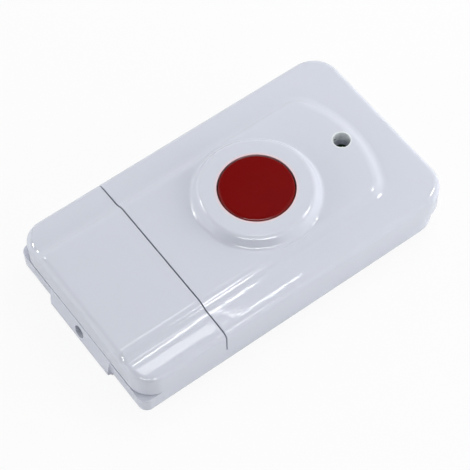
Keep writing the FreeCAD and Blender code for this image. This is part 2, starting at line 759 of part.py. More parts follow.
def rear_shell():
    body = part_body("rear_shell")
    plan = sketch_on(body, "tray_plan", "XY_Plane")
    trace(plan, rounded(rear_x0, rear_x1, -rear_half, rear_half, s.rear_cover_corner, s.rear_lamp_corner))
    tray = pad(body, "tray_block", plan, rear_top)
    fillet(body, "rear_edge", tray, s.rear_round, lambda edge: near(middle_of(edge).z, 0))
    lug = sketch_on(body, "lug_plan", "XY_Plane")
    side = s.lug_width / 2
    foot = side + s.lug_root
    trace(lug, [(tray_x0, foot), (rear_x0, foot), (rear_x0 - s.lug_root, side, s.lug_root, -1),
                (lug_x + s.lug_corner, side), (lug_x, side - s.lug_corner, s.lug_corner, 1),
                (lug_x, s.lug_corner - side), (lug_x + s.lug_corner, -side, s.lug_corner, 1),
                (rear_x0 - s.lug_root, -side), (rear_x0, -foot, s.lug_root, -1), (tray_x0, -foot)])
    block = pad(body, "lug", lug, lug_top)
    fillet(body, "lug_edge", block, s.lug_round,
           lambda edge: near(middle_of(edge).z, 0) and middle_of(edge).x < rear_x0.value)
    slope = sketch_on(body, "lug_slope_section", "XZ_Plane")
    trace(slope, [(lug_x, s.lug_slope_start), (rear_x0, lug_top), (lug_x, lug_top)])
    pocket(body, "lug_slope", slope, foot * 2, middle=True)

    floor_root = s.rear_wall / 2
    hollow = sketch_on(body, "tray_hollow_plan", "XY_Plane", rear_top)
    hollow_path = rounded(tray_x0, tray_x1, -tray_half, tray_half,
                          s.lip_corner + s.lip_set - s.side_wall, s.rear_lamp_corner - s.side_wall)
    trace(hollow, hollow_path)
    pocket(body, "tray_hollow", hollow, rear_top - s.rear_wall)
    lip = sketch_on(body, "lip_plan", "XY_Plane", rear_top)
    trace(lip, lip_plan(as_size(0), rear_x0 + s.lip_set, s.lip_corner))
    trace(lip, hollow_path)
    pad(body, "lip", lip, lip_top - rear_top)
    partition = sketch_on(body, "partition_plan", "XY_Plane", floor_root)
    partition_half = tray_half + s.root_sink
    trace(partition, rounded(shell_back, wall_inner, -partition_half, partition_half))
    pad(body, "partition", partition, lip_top - floor_root)

    arm = s.battery_radius + s.cradle_reach
    well = sketch_on(body, "bay_plan", "XY_Plane", s.rear_wall)
    trace(well, rounded(battery_x - arm - s.bay_gap, shell_back, -bay_half, bay_half))
    pocket(body, "bay", well, s.rear_wall - s.bay_floor)
    bore = sketch_on(body, "lanyard_plan", "YZ_Plane", lug_x)
    ring(bore, 0, lanyard_z, s.lanyard_radius)
    pocket(body, "lanyard_bore", bore, tray_x0 + s.root_sink - lug_x, reverse=True)

    bay_x0 = s.bay_start - half_length
    walls = sketch_on(body, "bay_walls", "YZ_Plane", bay_x0)
    ledge = bay_outer + s.ledge_reach
    for side in (1, -1):
        trace(walls, [(bay_half * side, floor_root), (bay_outer * side, floor_root),
                      (bay_outer * side, ledge_z), (ledge * side, ledge_z), (ledge * side, bay_top),
                      (bay_half * side, bay_top)])
    pad(body, "bay_wall_pair", walls, cover_front - s.bay_end - bay_x0)
    seat = s.battery_radius + s.cradle_clearance
    rib_top = s.bay_floor + s.cradle_height
    dip = battery_z - rib_top
    mouth = root(seat * seat - dip * dip)
    for number, side in enumerate((1, -1)):
        rib = sketch_on(body, "cradle_%d" % number, "XZ_Plane", s.cradle_spacing * (side / 2))
        trace(rib, [(battery_x - arm, s.bay_floor / 2), (battery_x + arm, s.bay_floor / 2),
                    (battery_x + arm, rib_top), (battery_x + mouth, rib_top),
                    (battery_x - mouth, rib_top, seat, -1), (battery_x - arm, rib_top)])
        pad(body, "cradle_rib_%d" % number, rib, s.cradle_width, middle=True)

    feet = sketch_on(body, "foot_plan", "XY_Plane", floor_root)
    holes = sketch_on(body, "screw_hole_plan", "XY_Plane")
    sinks = sketch_on(body, "screw_sink_plan", "XY_Plane")
    for x, y in boss_spots:
        ring(feet, x, y, s.foot_radius)
        ring(holes, x, y, s.screw_hole)
        ring(sinks, x, y, s.screw_sink_radius)
    pad(body, "screw_feet", feet, foot_top - floor_root)
    supports = sketch_on(body, "support_plan", "XY_Plane", floor_root)
    pilots = sketch_on(body, "board_pilot_plan", "XY_Plane", s.board_height)
    for x, y in board_screw_spots:
        ring(supports, x, y, s.support_radius)
        ring(pilots, x, y, s.board_screw_pilot)
    for side in (1, -1):
        ring(supports, s.button_x, s.switch_size * side, s.support_radius)
    pad(body, "board_supports", supports, s.board_height - floor_root)
    pocket(body, "board_pilots", pilots, s.board_height - s.rear_wall)
    pocket(body, "screw_holes", holes, foot_top, reverse=True)
    pocket(body, "screw_sinks", sinks, s.screw_sink, reverse=True)
    return body


# Push button: a moulded cap with a flange under the shell and a post on the switch

def button_cap():
    body = part_body("button_cap")
    section = sketch_on(body, "cap_section", "XZ_Plane", 0, s.button_x)
    flange_top = mound_ceiling - s.flange_play
    flange_bottom = flange_top - s.flange_thickness
    flange = s.button_radius + s.flange_reach
    bore = s.button_radius - s.button_wall
    under = button_height - s.button_roof
    corner_z, touch_z, touch_x = bowed_corner(button_height, s.button_bow, s.button_edge, s.button_radius)
    trace(section, [(0, plunger_top), (s.post_radius, plunger_top), (s.post_radius, under), (bore, under),
                    (bore, flange_bottom), (flange, flange_bottom), (flange, flange_top),
                    (s.button_radius, flange_top), (s.button_radius, corner_z),
                    (touch_x, touch_z, s.button_edge, 1), (0, button_height, s.button_bow, 1)])
    revolve(body, "cap", section)
    return body


# Circuit board with the holes that its parts and the casing's bosses need

def circuit_board():
    body = part_body("circuit_board")
    plan = sketch_on(body, "board_plan", "XY_Plane", s.board_height)
    trace(plan, rounded(board_x0, board_x1, -board_half, board_half, None, s.board_corner))
    for x, y in boss_spots:
        ring(plan, x, y, s.boss_radius + s.boss_hole_gap)
    for x, y in board_screw_spots:
        ring(plan, x, y, s.board_screw_hole)
    for x, y in switch_leg_spots():
        ring(plan, x, y, s.switch_leg_width / 2 + s.lead_gap)
    for x, y in resonator_pin_spots():
        ring(plan, x, y, s.resonator_pin + s.lead_gap)
    for side in (1, -1):
        ring(plan, board_x1 - s.antenna_inset, s.antenna_span * (side / 2), s.antenna_wire + s.lead_gap)
        ring(plan, tail_leg_x + s.tail_leg / 2, (contact_y + s.contact_sheet / 2) * side,
             s.tail_leg / 2 + s.lead_gap)
    pad(body, "board", plan, s.board_thickness)
    return body


def switch_leg_spots():
    offset = s.switch_size / 2 + s.switch_leg_sheet / 2
    half_pitch = s.switch_leg_pitch / 2
    return [(s.button_x + offset * a, half_pitch * b) for a in (1, -1) for b in (1, -1)]


def resonator_pin_spots():
    x = lamp_x - s.resonator_setback
    circle = s.resonator_pin_circle
    return [(x - circle, resonator_y), (x + circle, resonator_y), (x, resonator_y - circle)]


# Plain solids

def place(item, sizes, x, y, z):
    for prop, size in list(sizes.items()) + [("Placement.Base.x", x), ("Placement.Base.y", y),
                                             ("Placement.Base.z", z)]:
        bind(item, prop, size)
    return item


def brick(name, x, y, z, length, width, height):
    """A box centred on x and y that stands on z."""
    item = doc.addObject("Part::Box", name)
    return place(item, {"Length": length, "Width": width, "Height": height}, as_size(x) - length / 2,
                 as_size(y) - width / 2, z)


def rod(name, x, y, z, radius, height):
    item = doc.addObject("Part::Cylinder", name)
    return place(item, {"Radius": radius, "Height": height}, x, y, z)


def joined(name, items):
    result = doc.addObject("Part::MultiFuse", name)
    result.Shapes = items
    return result


def grouped(label, items):
    """Separate solids that share one node."""
    result = doc.addObject("Part::Compound", label + "_group")
    result.Links = items
    result.Label = label
    return result


def less(name, base, tool):
    result = doc.addObject("Part::Cut", name)
    result.Base = base
    result.Tool = tool
    return result


def labelled(label, item):
    item.Label = label
    return item


# Push switch under the button

def switch_parts():
    x, size = s.button_x, s.switch_size
    base_top = board_top + s.switch_base_height
    well_z = board_top + s.switch_well_floor
    block = brick("switch_block", x, 0, board_top, size, size, s.switch_base_height)
    well = rod("switch_well", x, 0, well_z, s.switch_well, s.switch_base_height)
    base = labelled("switch_base", less("switch_housing", block, well))

    plate = brick("switch_plate", x, 0, base_top, size, size, s.switch_plate)
    tab_z = base_top + s.switch_plate - s.switch_tab_length
    tab_y = size / 2 + s.switch_plate / 2
    tabs = [brick("switch_tab_%d" % number, x, tab_y * side, tab_z, s.switch_tab_width, s.switch_plate,
                  s.switch_tab_length) for number, side in enumerate((1, -1))]
    window = rod("plunger_window", x, 0, well_z, s.plunger_radius + s.window_gap, plunger_top - well_z)
    frame = labelled("switch_frame", less("switch_cover", joined("switch_folded", [plate] + tabs), window))

    flange_z = well_z + s.dome_height + s.dome_gap
    stem = rod("plunger_stem", x, 0, flange_z, s.plunger_radius, plunger_top - flange_z)
    collar = rod("plunger_collar", x, 0, flange_z, s.plunger_flange, base_top - s.plunger_play - flange_z)
    plunger = labelled("switch_plunger", joined("plunger", [stem, collar]))

    dome = part_body("switch_dome")
    section = sketch_on(dome, "dome_section", "XZ_Plane", 0, x)
    rim = s.plunger_flange
    inner = rim - s.dome_sheet
    inner_height = s.dome_height - s.dome_sheet
    outer_radius = (rim * rim + s.dome_height * s.dome_height) / (s.dome_height * 2)
    inner_radius = (inner * inner + inner_height * inner_height) / (inner_height * 2)
    trace(section, [(0, well_z + inner_height), (inner, well_z, inner_radius, -1), (rim, well_z),
                    (0, well_z + s.dome_height, outer_radius, 1)])
    revolve(dome, "dome", section)

    legs = [brick("switch_leg_%d" % number, leg_x, leg_y, lead_end, s.switch_leg_sheet, s.switch_leg_width,
                  well_z - lead_end) for number, (leg_x, leg_y) in enumerate(switch_leg_spots())]
    return [base, frame, plunger, dome, grouped("switch_legs", legs)]


# Signal lamp under the tube of the front shell

def lamp_parts():
    dish_z = lamp_top - s.lamp_dish_depth
    block = brick("lamp_block", lamp_x, 0, board_top, s.lamp_length, s.lamp_width, s.lamp_base_height)
    dish = rod("lamp_dish", lamp_x, 0, dish_z, s.lamp_lens_radius, s.lamp_base_height)
    base = labelled("lamp_base", less("lamp_housing", block, dish))
    lens = part_body("lamp_lens")
    section = sketch_on(lens, "lens_section", "XZ_Plane", 0, lamp_x)
    radius, rise = s.lamp_lens_radius, s.lamp_lens_rise
    trace(section, [(0, dish_z), (radius, dish_z), (radius, lamp_top),
                    (0, lamp_top + rise, (radius * radius + rise * rise) / (rise * 2), 1)])
    revolve(lens, "lens", section)
    return [base, lens]


# Encoder chip: a flat moulded body with bent pins along both sides

def chip_parts():
    x = board_x0 + s.chip_inset
    low = board_top + s.chip_stand
    mid = low + s.chip_body / 2
    half_long, half_wide = s.chip_length / 2, s.chip_width / 2
    body = part_body("encoder_chip")
    plan = sketch_on(body, "chip_plan", "XY_Plane", low)
    trace(plan, rounded(x - half_long, x + half_long, s.chip_y - half_wide, s.chip_y + half_wide))
    pad(body, "chip_block", plan, s.chip_body)
    mark = sketch_on(body, "chip_mark", "XY_Plane", low + s.chip_body)
    ring(mark, x - half_long + s.pin_reach, s.chip_y - half_wide + s.pin_reach, s.chip_dimple)
    pocket(body, "pin_one_dimple", mark, s.pin_sheet)
    outline = gull_wing(half_wide, mid, s.pin_reach - s.pin_foot, s.pin_foot)
    first_x = x - s.pin_pitch * ((PINS_A_SIDE - 1) / 2)
    pins = [strip("encoder_pin_%d_%d" % (column, side + 1), first_x + s.pin_pitch * column, s.chip_y, side,
                  outline) for column in range(PINS_A_SIDE) for side in (1, -1)]
    return [body, grouped("encoder_pins", pins)]


def gull_wing(edge, high, shoulder, foot):
    """A pin's bent outline as (distance from the part's middle, height): out, down and out again."""
    knee = edge + shoulder
    toe = knee + foot
    low = board_top + s.pin_sheet
    under = high - s.pin_sheet
    inner = knee - s.pin_sheet
    return [(edge, high), (knee, high), (knee, low), (toe, low), (toe, board_top), (inner, board_top),
            (inner, under), (edge, under)]


def strip(name, x, y, side, outline):
    """A strip bent in the plane across X, on the side +1 or -1 of y."""
    body = part_body(name)
    section = sketch_on(body, name + "_outline", "YZ_Plane", x)
    trace(section, [(y + across * side, height) for across, height in outline])
    pad(body, name + "_sheet", section, s.pin_width, middle=True)
    return body


# Transmitter parts: resonator, transistor, trimmer and wire loop

def transmitter_parts():
    can = part_body("saw_resonator")
    section = sketch_on(can, "resonator_section", "XZ_Plane", -resonator_y, lamp_x - s.resonator_setback)
    low = board_top + s.chip_stand
    brim = s.resonator_radius + s.resonator_brim
    shoulder = low + s.resonator_brim_height
    top = low + s.resonator_height
    trace(section, [(0, low), (brim, low), (brim, shoulder), (s.resonator_radius, shoulder),
                    (s.resonator_radius, top - s.can_round),
                    (s.resonator_radius - s.can_round, top, s.can_round, 1), (0, top)])
    revolve(can, "resonator_can", section)
    pins = [rod("resonator_pin_%d" % number, x, y, lead_end, s.resonator_pin, low - lead_end)
            for number, (x, y) in enumerate(resonator_pin_spots())]

    x = lamp_x - s.transistor_setback
    transistor = brick("transistor_body", x, s.transistor_y, low, s.transistor_length, s.transistor_width,
                       s.transistor_height)
    outline = gull_wing(s.transistor_width / 2, low + s.transistor_height / 2, s.transistor_shoulder,
                        s.transistor_foot)
    feet = [strip("transistor_pin_%d" % number, x + step, s.transistor_y, side, outline)
            for number, (step, side) in enumerate(((as_size(0), 1), (s.transistor_pitch, -1),
                                                   (-s.transistor_pitch, -1)))]

    x = lamp_x - s.trimmer_setback
    rotor_z = board_top + s.trimmer_height
    trimmer = brick("trimmer_block", x, s.trimmer_y, board_top, s.trimmer_length, s.trimmer_width,
                    s.trimmer_height)
    rotor = rod("rotor_disc", x, s.trimmer_y, rotor_z, s.rotor_radius, s.rotor_height)
    groove = brick("rotor_groove", x, s.trimmer_y, rotor_z + s.rotor_height - s.rotor_slot_depth,
                   s.rotor_radius * 2 + s.rotor_slot, s.rotor_slot, s.rotor_height)
    return [can, grouped("resonator_pins", pins), labelled("rf_transistor", transistor),
            grouped("transistor_pins", feet), labelled("trimmer_base", trimmer),
            labelled("trimmer_rotor", less("rotor_slotted", rotor, groove))]


def antenna_loop():
    loop = part_body("antenna_loop")
    x = board_x1 - s.antenna_inset
    half_span = s.antenna_span / 2
    high = band_ceiling - s.antenna_headroom - s.antenna_wire
    path = sketch_on(loop, "antenna_path", "YZ_Plane", x)
    trace(path, [(-half_span, lead_end), (-half_span, high - s.antenna_bend),
                 (s.antenna_bend - half_span, high, s.antenna_bend, -1), (half_span - s.antenna_bend, high),
                 (half_span, high - s.antenna_bend, s.antenna_bend, -1), (half_span, lead_end)], closed=False)
    section = sketch_on(loop, "antenna_section", "XY_Plane", lead_end)
    ring(section, x, -half_span, s.antenna_wire)
    sweep = loop.newObject("PartDesign::AdditivePipe", "antenna_wire_bent")
    sweep.Profile = section
    sweep.Spine = path
    return loop


def small_parts():
    resistor_x = board_x0 + s.chip_inset
    capacitor_x = lamp_x - s.capacitor_setback
    resistors = row_of("resistor", RESISTORS, resistor_x, s.resistor_y, s.resistor_height)
    capacitors = row_of("capacitor", CAPACITORS, capacitor_x, s.capacitor_y, s.capacitor_height)
    return [grouped("chip_resistors", resistors), grouped("chip_capacitors", capacitors)]


def row_of(name, count, x, y, height):
    """A row of like chips along X, centred on x."""
    return [brick("%s_%d" % (name, number), x + s.small_pitch * (number - (count - 1) / 2), y, board_top,
                  s.small_width, s.small_length, height) for number in range(count)]


# Battery and its two sheet metal contacts

def battery_cell():
    body = part_body("battery_cell")
    section = sketch_on(body, "battery_section", "XY_Plane", battery_z, battery_x)
    top = battery_end_y - s.nub_length
    bottom = battery_end_y - s.battery_length
    edge = s.battery_radius - s.can_round
    trace(section, [(0, bottom), (edge, bottom), (s.battery_radius, bottom + s.can_round, s.can_round, 1),
                    (s.battery_radius, top - s.can_round), (edge, top, s.can_round, 1), (s.nub_radius, top),
                    (s.nub_radius, battery_end_y), (0, battery_end_y)])
    revolve(body, "battery", section)
    return body


def contact_outline():
    """The flat contact seen across the casing: a plate, a tail through the wall and a leg into the board."""
    plate_x0 = battery_x - s.contact_width / 2
    plate_x1 = battery_x + s.contact_width / 2
    leg_x1 = tail_leg_x + s.tail_leg
    return [(plate_x0, s.contact_low), (plate_x1, s.contact_low), (plate_x1, tail_low),
            (tail_leg_x, tail_low), (tail_leg_x, lead_end), (leg_x1, lead_end), (leg_x1, tail_high),
            (plate_x0, tail_high)]


def positive_contact():
    body = part_body("positive_contact")
    blank = sketch_on(body, "positive_blank", "XZ_Plane", -contact_y)
    trace(blank, contact_outline())
    pad(body, "positive_sheet", blank, s.contact_sheet, reverse=True)
    dimple = sketch_on(body, "dimple_section", "XY_Plane", battery_z, battery_x)
    middle = contact_y + s.contact_sheet / 2
    trace(dimple, [(0, middle), (0, battery_end_y), (s.dimple_radius - s.dimple_depth, battery_end_y),
                   (s.dimple_radius, contact_y), (s.dimple_radius, middle)])
    revolve(body, "dimple", dimple)
    return body


def negative_contact():
    body = part_body("negative_contact")
    blank = sketch_on(body, "negative_blank", "XZ_Plane", contact_y)
    trace(blank, contact_outline())
    pad(body, "negative_sheet", blank, s.contact_sheet)
    leaf = sketch_on(body, "leaf_outline", "XY_Plane", battery_z - s.leaf_width / 2)
    inner = -contact_y
    outer = inner - s.contact_sheet / 2
    crest = battery_end_y - s.battery_length
    crest_outer = crest - s.leaf_sheet
    sheet_side = s.leaf_sheet / 2
    root_x = battery_x - s.contact_width / 2
    half_crest = s.leaf_crest / 2
    end_x = battery_x + s.leaf_end
    end_y = inner + s.leaf_end_gap
    trace(leaf, [(root_x, outer), (root_x + s.leaf_sheet, outer), (root_x + s.leaf_sheet, inner),
                 (battery_x - half_crest, crest_outer), (battery_x + half_crest, crest_outer),
                 (end_x, end_y), (end_x + s.leaf_sheet, end_y), (battery_x + half_crest + sheet_side, crest),
                 (battery_x - half_crest - sheet_side, crest), (root_x, inner)])
    pad(body, "leaf", leaf, s.leaf_width)
    return body


# Screws, one node for each kind

def screw(name, x, y, seat, up, head, head_height, shank, length, tip):
    """A pointed screw with a cross recess; its head is above the seat for up = 1, below it for -1."""
    body = part_body(name)
    section = sketch_on(body, name + "_section", "XZ_Plane", -y, x)
    crest = seat + head_height * up
    edge = crest - s.head_round * up
    point = seat - length * up
    trace(section, [(0, crest), (head - s.head_round, crest), (head, edge, s.head_round, -up), (head, seat),
                    (shank, seat), (shank, point + tip * up), (0, point)])
    revolve(body, name + "_turned", section)
    recess = sketch_on(body, name + "_recess", "XY_Plane", crest)
    arm, side = s.slot_reach, s.slot_width / 2
    cross = [(arm, -side), (arm, side), (side, side), (side, arm), (-side, arm), (-side, side), (-arm, side),
             (-arm, -side), (-side, -side), (-side, -arm), (side, -arm), (side, -side)]
    trace(recess, [(x + a, y + b) for a, b in cross])
    pocket(body, name + "_cross", recess, s.slot_depth, reverse=up < 0)
    return body


def screw_sets():
    case = [screw("case_screw_%d" % number, x, y, s.screw_sink, -1, s.screw_head, s.screw_head_height,
                  s.screw_shank, s.screw_length, s.screw_tip) for number, (x, y) in enumerate(boss_spots)]
    board = [screw("board_screw_%d" % number, x, y, board_top, 1, s.board_screw_head,
                   s.board_screw_head_height, s.board_screw_shank, s.board_screw_length, s.board_screw_tip)
             for number, (x, y) in enumerate(board_screw_spots)]
    return [grouped("case_screws", case), grouped("board_screws", board)]


pieces = [front_shell(), rear_shell(), battery_cover(), button_cap(), circuit_board()]
pieces += switch_parts() + lamp_parts() + chip_parts() + transmitter_parts()
pieces += [antenna_loop()] + small_parts()
pieces += [battery_cell(), positive_contact(), negative_contact()] + screw_sets()
doc.recompute()

faults = [item.Name for item in doc.Objects if "Invalid" in item.State or "Error" in item.State]
if faults:
    raise RuntimeError("failed features: " + ", ".join(faults))
for piece in pieces:
    if piece.Shape.isNull() or not piece.Shape.isValid():
        raise RuntimeError("bad shape: " + piece.Label)
for piece in pieces:
    piece.Shape.exportStep(os.path.join("parts", piece.Label + ".step"))
    print(piece.Label, "solids", len(piece.Shape.Solids), "volume", round(piece.Shape.Volume, 2))
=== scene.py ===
import math

import bmesh
import bpy
from mathutils import Matrix, Vector


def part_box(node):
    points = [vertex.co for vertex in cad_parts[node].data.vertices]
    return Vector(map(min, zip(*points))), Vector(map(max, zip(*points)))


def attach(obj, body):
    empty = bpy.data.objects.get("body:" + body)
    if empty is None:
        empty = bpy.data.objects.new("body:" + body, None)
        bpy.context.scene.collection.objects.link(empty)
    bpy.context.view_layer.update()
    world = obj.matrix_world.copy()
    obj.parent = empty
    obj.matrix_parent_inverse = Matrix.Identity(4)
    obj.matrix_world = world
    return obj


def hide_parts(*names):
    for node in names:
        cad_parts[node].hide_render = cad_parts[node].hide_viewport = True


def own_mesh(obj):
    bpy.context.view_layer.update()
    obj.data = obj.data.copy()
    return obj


# Wireless panic button: the finish of its plastic casing, its red push button and the parts inside,
# round the CAD frame.
# Everything is in metres, X along the casing towards the lamp end, Z up out of the rear face.

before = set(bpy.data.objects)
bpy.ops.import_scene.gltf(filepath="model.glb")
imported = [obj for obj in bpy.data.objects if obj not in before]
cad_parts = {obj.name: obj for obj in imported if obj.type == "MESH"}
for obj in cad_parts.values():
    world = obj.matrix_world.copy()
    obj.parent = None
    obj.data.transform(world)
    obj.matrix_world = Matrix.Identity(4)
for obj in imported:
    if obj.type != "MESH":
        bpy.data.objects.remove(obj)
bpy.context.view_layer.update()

MM = 0.001
PHOTO_SIDE = 470  # pixels
POINTS_ROUND = 28  # on each turn of a thread and round each cone of solder


def rgb(red, green, blue):
    """A colour from its values on screen, 0 to 255, as the linear colour a shader takes."""
    def linear(value):
        value /= 255
        return value / 12.92 if value <= 0.04045 else ((value + 0.055) / 1.055) ** 2.4
    return (linear(red), linear(green), linear(blue), 1.0)


def stand(name, data):
    """A new object of that name in the scene."""
    body = bpy.data.objects.new(name, data)
    bpy.context.scene.collection.objects.link(body)
    return body


class Nodes:
    """A node tree in the making."""

    def __init__(self, tree):
        self.tree = tree

    def feed(self, socket, value):
        """Link another node's output to an input, or give the input a plain value."""
        if isinstance(value, bpy.types.NodeSocket):
            self.tree.links.new(value, socket)
        else:
            socket.default_value = value

    def set(self, node, **inputs):
        """Feed a node's inputs by name, with _ for a space."""
        for name, value in inputs.items():
            self.feed(node.inputs[name.replace("_", " ")], value)

    def add(self, kind, *values, **named):
        """A new node, whose first inputs take the values in order.

        A name that starts with a capital is an input too, any other is a property of the node.
        """
        node = self.tree.nodes.new(kind)
        for name, value in named.items():
            if name[0].islower():
                setattr(node, name, value)
        for socket, value in zip(node.inputs, values):
            self.feed(socket, value)
        self.set(node, **{name: value for name, value in named.items() if name[0].isupper()})
        return node

    def out(self, kind, *values, **named):
        """The first output of a new node."""
        return self.add(kind, *values, **named).outputs[0]

    def math(self, operation, first, second=0.0):
        return self.out("ShaderNodeMath", first, second, operation=operation)

    def step(self, value, low, high, at_low=0.0, at_high=1.0):
        """at_low where the value is low, at_high where it is high and smooth between them."""
        return self.out("ShaderNodeMapRange", value, low, high, at_low, at_high,
                        interpolation_type="SMOOTHSTEP")


class Finish(Nodes):
    """A material in the making: a Principled shader and short calls for what feeds it."""

    def __init__(self, name, colour, roughness, metallic=0.0, **inputs):
        self.material = bpy.data.materials.new(name)
        self.material.use_nodes = True
        super().__init__(self.material.node_tree)
        self.surface(Base_Color=colour, Roughness=roughness, Metallic=metallic, **inputs)
        self.place = self.add("ShaderNodeTexCoord").outputs["Object"]

    def surface(self, **inputs):
        """Feed the Principled shader."""
        self.set(self.tree.nodes["Principled BSDF"], **inputs)

    def noise(self, size, detail=2.0, stretch=(1, 1, 1)):
        """Cloudy values from 0 to 1 whose patches are about size metres across."""
        scaled = self.out("ShaderNodeMapping", Vector=self.place, Scale=Vector(stretch) / size)
        return self.add("ShaderNodeTexNoise", Vector=scaled, Scale=1.0, Detail=detail).outputs["Fac"]

    def between(self, value, low, high):
        """A value from 0 to 1 spread from low to high."""
        return self.out("ShaderNodeMapRange", Value=value, To_Min=low, To_Max=high)

    def mix(self, share, first, second):
        """The first colour where the share is 0, the second where it is 1."""
        node = self.add("ShaderNodeMix", data_type="RGBA", Factor=share)
        colours_in, colour_out = node.inputs[6:8], node.outputs[2]
        for socket, colour in zip(colours_in, (first, second)):
            self.feed(socket, colour)
        return colour_out

    def axis(self, letter):
        """The piece's own X, Y or Z coordinate, in metres."""
        return self.add("ShaderNodeSeparateXYZ", self.place).outputs[letter]

    def distance(self, first, second):
        return self.add("ShaderNodeVectorMath", first, second, operation="DISTANCE").outputs["Value"]

    def near(self, spot, reach):
        """1 at a spot of the piece, falling to 0 at reach metres from it."""
        return self.step(self.distance(self.place, spot), reach, reach / 2)

    def from_axis(self, name):
        """Distance from the upright middle line of a CAD node."""
        low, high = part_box(name)
        middle = (low + high) / 2
        across = self.out("ShaderNodeVectorMath", self.place, (1, 1, 0), operation="MULTIPLY")
        return self.distance(across, (middle.x, middle.y, 0))

    def hole_rim(self, name, inner, outer):
        """1 on the wall and the thin edge of the hole in the casing's top over a CAD node."""
        rim = self.step(self.from_axis(name), outer, inner)
        rim_height = 5 * MM
        floor_of_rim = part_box("button_cap")[1].z - rim_height
        return self.math("MULTIPLY", rim, self.math("GREATER_THAN", self.axis("Z"), floor_of_rim))

    def bump(self, height, depth, **under):
        """Raise the surface by up to depth metres times height, over the Normal of another bump."""
        return self.out("ShaderNodeBump", Height=height, Strength=1.0, Distance=depth, **under)


# Moulded plastic of the casing and the button

def casing_plastic():
    """Glossy pale grey with a dark speck, painted light in the lamp hole and a painted pink rim highlight."""
    finish = Finish("gloss_grey_casing", rgb(216, 220, 231), 0.08)
    tint = finish.mix(finish.noise(9 * MM), rgb(214, 219, 229), rgb(218, 221, 233))
    speck = finish.near(spot=(0.0117, -0.0084, 0.0133), reach=0.16 * MM)
    marked = finish.mix(speck, tint, rgb(120, 112, 104))
    # Painted light: the wall and edge of the lamp hole are painted paler than the casing, where the hole
    # would be in shade.
    lamp_hole_painted_light = finish.hole_rim("lamp_lens", inner=1.85 * MM, outer=2.2 * MM)
    with_painted_hole_light = finish.mix(lamp_hole_painted_light, marked, rgb(238, 243, 246))
    # Painted highlight: a pale pink ring round the button's hole, painted in for the red button's reflection.
    button_rim_painted_highlight = finish.hole_rim("button_cap", inner=8.0 * MM, outer=8.5 * MM)
    with_painted_rim_highlight = finish.mix(button_rim_painted_highlight, with_painted_hole_light, rgb(240, 216, 222))
    smears = finish.noise(14 * MM, detail=4.0, stretch=(1, 2.4, 1))
    sink = finish.bump(finish.noise(6 * MM, detail=1.0), depth=0.03 * MM)
    peel = finish.bump(finish.noise(0.9 * MM, detail=1.0), depth=0.003 * MM, Normal=sink)
    finish.surface(Base_Color=with_painted_rim_highlight, Roughness=finish.between(smears, 0.02, 0.05), Normal=peel)
    return finish.material


def button_plastic():
    """Satin dark red, glossy on the rounded edge."""
    finish = Finish("satin_red_button", rgb(120, 10, 10), 0.3)
    edge = finish.step(finish.from_axis("button_cap"), low=7.3 * MM, high=7.6 * MM)
    grain = finish.noise(0.22 * MM, detail=3.0)
    satin = finish.between(grain, 0.26, 0.34)
    finish.surface(Base_Color=finish.mix(finish.noise(4 * MM), rgb(117, 10, 10), rgb(125, 8, 9)),
                   Roughness=finish.math("MULTIPLY", satin, finish.between(edge, 1.0, 0.2)),
                   Specular_IOR_Level=finish.between(edge, 0.03, 0.5),
                   Normal=finish.bump(grain, depth=0.0015 * MM))
    return finish.material


# Parts inside

def solder_resist():
    """Green lacquer over a glass weave, raised along the lines where a cloud has its middle value."""
    finish = Finish("green_solder_resist", rgb(38, 104, 58), 0.32)
    cloud = finish.noise(3.2 * MM, detail=0.0)
    from_middle = finish.math("ABSOLUTE", finish.math("SUBTRACT", cloud, 0.5))
    traces = finish.step(from_middle, low=0.016, high=0.008)
    weave = finish.noise(0.6 * MM, detail=1.0)
    woven = finish.bump(weave, depth=0.006 * MM)
    finish.surface(Base_Color=finish.mix(traces, rgb(34, 98, 54), rgb(66, 138, 78)),
                   Roughness=finish.between(weave, 0.26, 0.4),
                   Normal=finish.bump(traces, depth=0.03 * MM, Normal=woven))
    return finish.material


def grainy(name, middle, first, second, grain_size, depth, smoothest, roughest, patch_size=None):
    """A matt finish of two close colours, shared out by its grain or by larger patches."""
    finish = Finish(name, middle, (smoothest + roughest) / 2)
    grain = finish.noise(grain_size, detail=3.0)
    share = finish.noise(patch_size) if patch_size else grain
    finish.surface(Base_Color=finish.mix(share, first, second),
                   Roughness=finish.between(grain, smoothest, roughest), Normal=finish.bump(grain, depth))
    return finish.material


def plated_metal(name, pale, dark, grain_size, smoothest, roughest):
    """Drawn metal with a thin plating that has dulled in patches."""
    finish = Finish(name, pale, 0.25, metallic=1.0)
    drawn = finish.noise(grain_size, detail=3.0, stretch=(1, 6, 6))
    tarnish = finish.noise(2.6 * MM, detail=3.0)
    finish.surface(Base_Color=finish.mix(tarnish, pale, dark),
                   Roughness=finish.between(drawn, smoothest, roughest),
                   Normal=finish.bump(drawn, depth=0.002 * MM))
    return finish.material


def enamelled_copper():
    """Copper wire under a clear enamel."""
    finish = Finish("enamelled_copper", rgb(176, 98, 56), 0.22, metallic=1.0, Coat_Weight=0.5,
                    Coat_Roughness=0.1)
    drawn = finish.noise(0.5 * MM, stretch=(1, 1, 5))
    finish.surface(Base_Color=finish.mix(drawn, rgb(164, 88, 50), rgb(192, 112, 66)),
                   Roughness=finish.between(drawn, 0.18, 0.3))
    return finish.material


def clear_resin():
    """The lamp's clear, slightly rippled dome."""
    finish = Finish("clear_lamp_resin", rgb(236, 214, 208), 0.08, Transmission_Weight=0.85, IOR=1.5)
    finish.surface(Normal=finish.bump(finish.noise(0.5 * MM), depth=0.003 * MM))
    return finish.material


